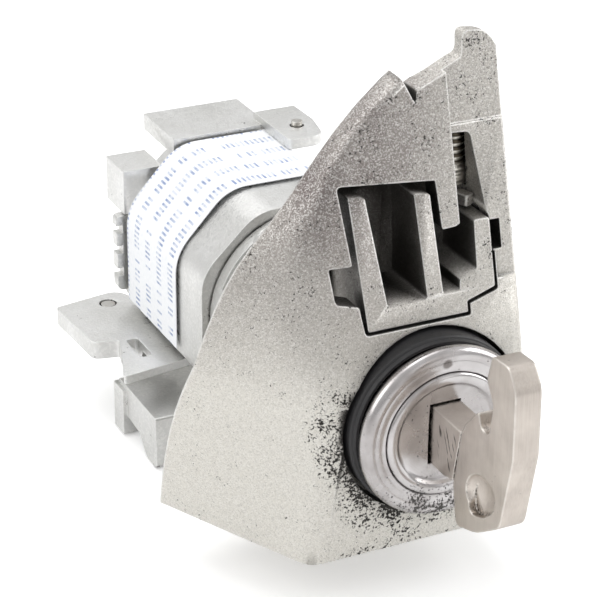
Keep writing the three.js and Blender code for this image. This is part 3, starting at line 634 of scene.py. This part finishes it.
def satin_nickel():
    material, tree, shader, where = start_material("satin nickel")
    lines = use_group(tree, FINE_LINES, Vector=where, Packing=(5200.0, 5200.0, 130.0))
    soft = place_node(tree, "ShaderNodeTexNoise", in_Vector=where, in_Scale=240.0, in_Detail=4.0)
    tone = remap(tree, soft.outputs[0], 0.35, 0.65)
    metal = blend_colours(tree, tone, NICKEL_LIGHT, NICKEL_DARK)
    brushed = calculate(tree, "MULTIPLY", lines.outputs["Tone"], 0.28)
    metal = blend_colours(tree, brushed, metal, NICKEL_BRUSHED)
    edges = use_group(tree, EDGES_WORN_AND_LIT, Vector=where, Radius=0.40 * MM)
    # painted highlight along the edges, partly worn bright
    metal = blend_colours(tree, edges.outputs["Mask"], metal, NICKEL_EDGE_WEAR_AND_HIGHLIGHT)
    closed_in = place_node(tree, "ShaderNodeAmbientOcclusion", samples=4, in_Distance=1.6 * MM)
    cover = remap(tree, closed_in.outputs["AO"], 0.92, 0.55, 0.05, 0.9)
    grime = use_group(tree, SPECKLED_GRIME, Vector=where, Cover=cover, Specks_per_Metre=1700.0)
    colour = blend_colours(tree, grime.outputs["Mask"], metal, KEY_DIRT)
    colour = blend_colours(tree, scratches_on_neck(tree, where), colour, SCRATCH_DARK)
    tree.links.new(colour, shader.inputs["Base Color"])
    tree.links.new(remap(tree, lines.outputs["Tone"], 0, 1, 0.30, 0.44), shader.inputs["Roughness"])
    raise_bump(tree, shader, lines.outputs["Height"], 0.012 * MM, edges)
    return material


add_finish("satin_nickel", satin_nickel())

# %% [markdown]
# ## Small hardware and brass
# Screws and pins are plated steel with a mottled sheen, the plug and its wafers are greased
# brass, and the spring is drawn wire. They differ in colour and gloss only, so one function
# makes all three.

# %% Materials: plated steel, spring steel and brass
MOTTLES_PER_METRE = 700.0


def mottled_metal(name, dark, light, roughness):
    """A metal whose tone and gloss vary in small patches, with brighter edges, partly worn and partly a
    painted highlight.
    """
    material, tree, shader, where = start_material(name)
    patches = place_node(
        tree, "ShaderNodeTexNoise", in_Vector=where, in_Scale=MOTTLES_PER_METRE, in_Detail=4.0)
    tone = remap(tree, patches.outputs[0], 0.35, 0.65)
    metal = blend_colours(tree, tone, dark, light)
    edges = use_group(tree, EDGES_WORN_AND_LIT, Vector=where, Radius=0.15 * MM)
    bright = [min(1.0, 1.25 * channel) for channel in light[:3]] + [1]
    # painted highlight along the edges, partly worn bright
    colour = blend_colours(tree, edges.outputs["Mask"], metal, bright)
    tree.links.new(colour, shader.inputs["Base Color"])
    rough = remap(tree, tone, 0, 1, roughness + 0.08, roughness - 0.06)
    tree.links.new(rough, shader.inputs["Roughness"])
    lines = use_group(tree, FINE_LINES, Vector=where, Packing=(3000.0, 400.0, 3000.0))
    raise_bump(tree, shader, lines.outputs["Height"], 0.01 * MM, edges)
    return material


PLATED = mottled_metal("plated steel", (0.52, 0.50, 0.46, 1), (0.70, 0.69, 0.66, 1), roughness=0.36)
DRAWN = mottled_metal("spring steel", (0.34, 0.33, 0.32, 1), (0.52, 0.51, 0.49, 1), roughness=0.34)
BRASS = mottled_metal("greased brass", (0.56, 0.42, 0.20, 1), (0.74, 0.60, 0.32, 1), roughness=0.32)
add_finish("plated_steel", PLATED)
add_finish("spring_steel", DRAWN)
add_finish("brass", BRASS)

# %% [markdown]
# ## The clamp screw's thread
# The screw in the right-hand pocket is bright, with painted shade darkening the roots of its
# thread. The CAD screw has plain rings for a thread. A sine of the height gives them a soft bump
# and paints that shade in between, which keeps the thread readable from a distance.

# %% Material: threaded steel
SCREW_DARK = (0.80, 0.77, 0.70, 1)
SCREW_LIGHT = (0.92, 0.90, 0.84, 1)
THREAD_ROOT_SHADE = (0.10, 0.085, 0.065, 1)
THREAD_PITCH = 1.05 * MM


def threaded_steel():
    """Bright plated steel, with painted shade in the roots of the clamp screw's thread."""
    material, tree, shader, where = start_material("threaded steel", roughness=0.34)
    z = place_node(tree, "ShaderNodeSeparateXYZ", in_Vector=where).outputs["Z"]
    turns = calculate(tree, "SINE", calculate(tree, "MULTIPLY", z, 2 * math.pi / THREAD_PITCH))
    on_thread = remap(tree, z, 32.6 * MM, 33.4 * MM)
    root = calculate(tree, "MULTIPLY", remap(tree, turns, 0.25, -0.35), on_thread)
    patches = place_node(tree, "ShaderNodeTexNoise", in_Vector=where, in_Scale=800.0, in_Detail=3.0)
    metal = blend_colours(tree, patches.outputs[0], SCREW_DARK, SCREW_LIGHT)
    # painted shade: the roots of the thread darkened along a sine of the height
    colour = blend_colours(tree, root, metal, THREAD_ROOT_SHADE)
    tree.links.new(colour, shader.inputs["Base Color"])
    raise_bump(tree, shader, turns, 0.12 * MM)
    return material


THREADED = threaded_steel()
print(f"{THREADED.name}: thread pitch {THREAD_PITCH / MM:.2f} mm")

# %% [markdown]
# ## Rubber seal
# The seal is moulded rubber, nearly black, with a fine matt skin and a little pale dust.

# %% Material: moulded rubber
RUBBER_BLACK = (0.012, 0.012, 0.014, 1)
RUBBER_GREY = (0.028, 0.027, 0.028, 1)
DUST = (0.22, 0.21, 0.19, 1)


def moulded_rubber():
    material, tree, shader, where = start_material("moulded rubber", metallic=0.0)
    skin = place_node(tree, "ShaderNodeTexNoise", in_Vector=where, in_Scale=2200.0, in_Detail=4.0)
    dust = use_group(tree, SPECKLED_GRIME, Vector=where, Cover=0.16, Specks_per_Metre=900.0)
    black = blend_colours(tree, skin.outputs[0], RUBBER_BLACK, RUBBER_GREY)
    dusty = calculate(tree, "MULTIPLY", dust.outputs["Mask"], 0.5)
    colour = blend_colours(tree, dusty, black, DUST)
    tree.links.new(colour, shader.inputs["Base Color"])
    tree.links.new(remap(tree, skin.outputs[0], 0.3, 0.7, 0.40, 0.58), shader.inputs["Roughness"])
    raise_bump(tree, shader, skin.outputs[0], 0.03 * MM)
    return material


add_finish("rubber", moulded_rubber())

# %% [markdown]
# ## Printed paper
# The label is white paper with rows of small pale blue marks, too small and regular to read.
# Its pattern has to follow the paper round the housing's corners, so it reads the sheet's own
# UV map, which holds real millimetres along and across the paper.

# %% Material: printed paper
PRINT_ROW = 4.6
PRINT_START = 1.3
PRINT_BAND = 1.9
PRINT_STEP = 0.85
PRINT_STROKE = 0.40
BARE_SHARE = 0.24
PAPER_GREY = (0.84, 0.86, 0.89, 1)
PAPER_WHITE = (0.91, 0.92, 0.94, 1)
INK_BLUE = (0.16, 0.24, 0.46, 1)


def printed_paper():
    material, tree, shader, where = start_material("printed paper", roughness=0.62, metallic=0.0)
    sheet = place_node(tree, "ShaderNodeUVMap", uv_map="paper").outputs[0]
    axes = place_node(tree, "ShaderNodeSeparateXYZ", in_Vector=sheet)
    along, across = axes.outputs[0], axes.outputs[1]
    row_place = calculate(tree, "MODULO", across, PRINT_ROW)
    top = calculate(tree, "GREATER_THAN", row_place, PRINT_START)
    bottom = calculate(tree, "LESS_THAN", row_place, PRINT_START + PRINT_BAND)
    row = calculate(tree, "FLOOR", calculate(tree, "DIVIDE", across, PRINT_ROW))
    step = calculate(tree, "FLOOR", calculate(tree, "DIVIDE", along, PRINT_STEP))
    cell = place_node(tree, "ShaderNodeCombineXYZ", in_X=step, in_Y=row)
    chance = place_node(
        tree, "ShaderNodeTexWhiteNoise", noise_dimensions="2D", in_Vector=cell.outputs[0])
    word = calculate(tree, "GREATER_THAN", chance.outputs["Value"], BARE_SHARE)
    stroke_place = calculate(tree, "MODULO", along, PRINT_STEP)
    stroke = calculate(tree, "LESS_THAN", stroke_place, PRINT_STROKE)
    in_row = calculate(tree, "MULTIPLY", top, bottom)
    marks = calculate(tree, "MULTIPLY", in_row, calculate(tree, "MULTIPLY", word, stroke))
    worn = place_node(tree, "ShaderNodeTexNoise", in_Vector=where, in_Scale=700.0, in_Detail=4.0)
    ink = calculate(tree, "MULTIPLY", marks, remap(tree, worn.outputs[0], 0.40, 0.62, 0.25, 0.85))
    fibre = place_node(tree, "ShaderNodeTexNoise", in_Vector=where, in_Scale=1500.0, in_Detail=5.0)
    paper = blend_colours(tree, remap(tree, fibre.outputs[0], 0.3, 0.7), PAPER_GREY, PAPER_WHITE)
    colour = blend_colours(tree, ink, paper, INK_BLUE)
    tree.links.new(colour, shader.inputs["Base Color"])
    raise_bump(tree, shader, fibre.outputs[0], 0.02 * MM)
    return material


add_finish("label_paper", printed_paper())

# %% [markdown]
# ## From CAD solid to finished casting
# A CAD node is a cloud of loose triangles. A copy of it is merged into one skin and its flat
# areas are dissolved into single faces. Round stretches are then shaded smooth and corners stay
# crisp, because most finishes round them as they are shaded. The CAD node stays, hidden.

# %% Finished copies of the CAD parts
WELD = 0.0005 * MM
FLAT_WITHIN = math.radians(0.6)
CRISP_OVER = math.radians(34)


def merged_skin(node):
    """The node's surface as one connected skin with flat areas as single faces."""
    bm = bmesh.new()
    bm.from_mesh(frame["nodes"][node].data)
    bmesh.ops.remove_doubles(bm, verts=bm.verts, dist=WELD)
    bmesh.ops.dissolve_limit(
        bm, angle_limit=FLAT_WITHIN, use_dissolve_boundaries=False, verts=bm.verts, edges=bm.edges)
    return bm


def finished(bm, name, node, crisp_over=CRISP_OVER):
    """Makes the mesh into a piece that stands for a CAD node, in that node's finish."""
    mesh = bpy.data.meshes.new(name)
    bm.to_mesh(mesh)
    bm.free()
    mesh.polygons.foreach_set("use_smooth", [True] * len(mesh.polygons))
    mesh.set_sharp_from_angle(angle=crisp_over)
    mesh.materials.append(FINISH[SLOT_OF[node]])
    piece = bpy.data.objects.new(name, mesh)
    bpy.context.scene.collection.objects.link(piece)
    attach(piece, BODY_OF[node])
    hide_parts(node)
    return piece


CAD_COPIES = [
    "carrier_casting", "rib_insert", "clamp_pad", "clamp_screw", "barrel_housing", "rear_housing",
    "slide_yoke", "output_cam", "housing_screw_left", "housing_screw_right", "bracket_pin",
    "yoke_rivet", "crank_pin", "cam_clip", "barrel_pin", "return_spring", "plug", "rear_bracket",
    "lower_block", "slide_plate", "key_head", "key_blade",
]
for node in CAD_COPIES:
    made = finished(merged_skin(node), f"{node}_finished", node)
    print(f"{made.name}: {len(made.data.polygons)} faces")
bpy.data.objects["clamp_screw_finished"].data.materials[0] = THREADED
wafers = sorted(node for node in frame["nodes"] if node.startswith("wafer_"))
for node in wafers:
    finished(merged_skin(node), f"{node}_polished", node)
print(f"{len(wafers)} wafers, polished")

# %% [markdown]
# ## Seal, escutcheon and plug face
# These are round pieces, so each is one profile spun round the lock axis. Spinning a fresh
# profile gives smoother rings than the CAD node has: the bead's round, the fine groove inside
# it, the raised lip of the plug and the shallow dish in its middle.

# %% Turned pieces
LOCK_FACE = -26.0
TURNED_CRISP_OVER = math.radians(40)
SEAM_WELD = 0.001 * MM


def spun(profile, steps=160):
    """A closed profile of (radius, depth) in millimetres, spun round the lock axis."""
    bm = bmesh.new()
    ring = [bm.verts.new((radius * MM, (LOCK_FACE + depth) * MM, 0)) for radius, depth in profile]
    edges = [bm.edges.new((a, b)) for a, b in zip(ring, ring[1:] + ring[:1])]
    bmesh.ops.spin(
        bm, geom=ring + edges, cent=(0, 0, 0), axis=(0, 1, 0), angle=2 * math.pi, steps=steps,
        use_merge=True)
    bmesh.ops.remove_doubles(bm, verts=bm.verts, dist=SEAM_WELD)
    bmesh.ops.recalc_face_normals(bm, faces=bm.faces)
    return bm


def arc(centre, radius, start, end, count):
    """Points on an arc in the (radius, depth) plane, angles in degrees from +radius to +depth."""
    turns = [math.radians(start + (end - start) * i / (count - 1)) for i in range(count)]
    return [(centre[0] + radius * math.cos(t), centre[1] + radius * math.sin(t)) for t in turns]


BEAD = arc((11.75, 0.35), 1.25, 12, -118, 16)
ESCUTCHEON = BEAD + [
    (10.75, -0.88), (10.3, -0.72), (9.95, -0.70), (9.65, -0.78), (9.54, -0.70), (9.52, -0.5),
    (9.52, 1.2), (10.9, 1.7), (10.9, 7.5), (11.85, 7.5), (11.85, 1.35), (12.6, 1.25), (12.92, 0.95),
]
SEAL = [(12.2, 7.6), (12.2, 2.3)] + arc((12.6, 2.45), 0.4, 200, 300, 7) + arc(
    (12.85, 3.1), 0.5, 285, 360, 6) + [(13.4, 7.6)]
PLUG_FACE = [
    (0, 0.14), (3.0, 0.10), (5.4, -0.04), (7.1, -0.34), (7.5, -0.52), (7.75, -0.86), (8.0, -1.04),
    (8.4, -1.16), (8.9, -1.18), (9.2, -1.08), (9.38, -0.86), (9.42, -0.6), (9.42, 1.35), (0, 1.35),
]
for profile, name, node in (
    (ESCUTCHEON, "escutcheon_turned", "escutcheon"),
    (SEAL, "rubber_seal_moulded", "rubber_ring"),
):
    made = finished(spun(profile), name, node, TURNED_CRISP_OVER)
    print(f"{name}: {len(profile)} points spun into {len(made.data.polygons)} faces")

# %% [markdown]
# ## Key slot
# The slot goes right through the plug face, and its corners are cut square by a broach. Taking
# a block away from the spun disc does the same in one step, and keeps the disc's rings round.

# %% Plug face with its key slot
SLOT_HALF_WIDTH = 2.45
SLOT_HALF_HEIGHT = 4.7
BROACH_REACH = 4


def bite(piece, bm):
    """Takes a bite the shape of bm out of a piece."""
    mesh = bpy.data.meshes.new("cutter")
    bm.to_mesh(mesh)
    bm.free()
    cutter = bpy.data.objects.new("cutter", mesh)
    bpy.context.scene.collection.objects.link(cutter)
    cut = piece.modifiers.new("bite", "BOOLEAN")
    cut.operation = "DIFFERENCE"
    cut.solver = "EXACT"
    cut.object = cutter
    bpy.context.view_layer.update()
    evaluated = piece.evaluated_get(bpy.context.evaluated_depsgraph_get())
    result = bpy.data.meshes.new_from_object(evaluated)
    piece.modifiers.clear()
    piece.data = result
    bpy.data.objects.remove(cutter)


def block(low, high):
    """A block between two corners in millimetres."""
    low, high = Vector(low) * MM, Vector(high) * MM
    bm = bmesh.new()
    bmesh.ops.create_cube(bm, size=1)
    bmesh.ops.scale(bm, vec=high - low, verts=bm.verts)
    bmesh.ops.translate(bm, vec=(low + high) / 2, verts=bm.verts)
    return bm


plug_face = finished(spun(PLUG_FACE), "plug_face_turned", "plug_face", TURNED_CRISP_OVER)
broach = block(
    (-SLOT_HALF_WIDTH, LOCK_FACE - BROACH_REACH, -SLOT_HALF_HEIGHT),
    (SLOT_HALF_WIDTH, LOCK_FACE + BROACH_REACH, SLOT_HALF_HEIGHT))
bite(plug_face, broach)
plug_face.data.set_sharp_from_angle(angle=TURNED_CRISP_OVER)
print(f"plug face: {len(plug_face.data.polygons)} faces with its slot")

# %% [markdown]
# ## Pocket in the key's head
# The head has a dished oval on its left side, as if a thumb had been pressed into it. A stretched
# ball, leaning with the head's lower edge, is the tool that leaves that shape.

# %% Dished pocket
POCKET_RADII = (1.6, 4.0, 2.9)
POCKET_AT = Vector((-2.3, -40.0, -2.2)) * MM
POCKET_LEAN = Matrix.Rotation(math.radians(-26), 3, "X")

pocket = bmesh.new()
bmesh.ops.create_uvsphere(pocket, u_segments=48, v_segments=24, radius=MM)
bmesh.ops.scale(pocket, vec=POCKET_RADII, verts=pocket.verts)
bmesh.ops.rotate(pocket, cent=(0, 0, 0), matrix=POCKET_LEAN, verts=pocket.verts)
bmesh.ops.translate(pocket, vec=POCKET_AT, verts=pocket.verts)
key_head = bpy.data.objects["key_head_finished"]
bite(key_head, pocket)
key_head.data.set_sharp_from_angle(angle=CRISP_OVER)
print(f"key head: {len(key_head.data.polygons)} faces with its pocket")

# %% [markdown]
# ## Paper label
# The label is a strip laid over the housing: from the right of its top, over the upper left
# corner and down the left side. A flat grid is bent along that path, which keeps the grid's
# length, and its UV map is written in millimetres of paper before it is bent.

# %% Label strip
LABEL_LOW, LABEL_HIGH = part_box("rear_label")
PAPER = 0.12
CLEARANCE = 0.05
TOP = LABEL_HIGH.z / MM - PAPER - CLEARANCE
LEFT = LABEL_LOW.x / MM + PAPER + CLEARANCE
RIGHT_END = 7.6
LOWER_END = -9.1
FOLD_TOP = -8.2
FOLD_SIDE = 7.0
FOLD_REACH = 3.4
FOLD_STEPS = 8
PAPER_CRISP_OVER = math.radians(50)


def label_path():
    """Points of the wrapped paper in (x, z), from its right end to its lower end."""
    corners = [(RIGHT_END, TOP), (FOLD_TOP, TOP), (LEFT, FOLD_SIDE), (LEFT, LOWER_END)]
    points = [Vector(corners[0])]
    for before, corner, after in zip(corners, corners[1:], corners[2:]):
        before, corner, after = Vector(before), Vector(corner), Vector(after)
        start = corner + (before - corner).normalized() * FOLD_REACH
        end = corner + (after - corner).normalized() * FOLD_REACH
        for i in range(FOLD_STEPS + 1):
            t = i / FOLD_STEPS
            points.append(start.lerp(corner, t).lerp(corner.lerp(end, t), t))
    return points + [Vector(corners[-1])]


def along_path(points, distance):
    """The point that far along a path."""
    for a, b in zip(points, points[1:]):
        step = (b - a).length
        if distance <= step or b is points[-1]:
            return a.lerp(b, min(1.0, distance / step))
        distance -= step


def paper_label():
    path = label_path()
    length = sum((b - a).length for a, b in zip(path, path[1:]))
    width = (LABEL_HIGH.y - LABEL_LOW.y) / MM
    bm = bmesh.new()
    bmesh.ops.create_grid(bm, x_segments=90, y_segments=14, size=0.5)
    paper = bm.loops.layers.uv.new("paper")
    for face in bm.faces:
        for loop in face.loops:
            place = loop.vert.co
            loop[paper].uv = ((place.x + 0.5) * length, (place.y + 0.5) * width)
    for vert in bm.verts:
        x, z = along_path(path, (vert.co.x + 0.5) * length)
        vert.co = Vector((x * MM, LABEL_LOW.y + (vert.co.y + 0.5) * width * MM, z * MM))
    bmesh.ops.recalc_face_normals(bm, faces=bm.faces)
    bmesh.ops.solidify(bm, geom=bm.faces, thickness=-PAPER * MM)
    print(f"label: {length:.1f} x {width:.1f} mm of paper")
    return bm


finished(paper_label(), "paper_label", "rear_label", PAPER_CRISP_OVER)
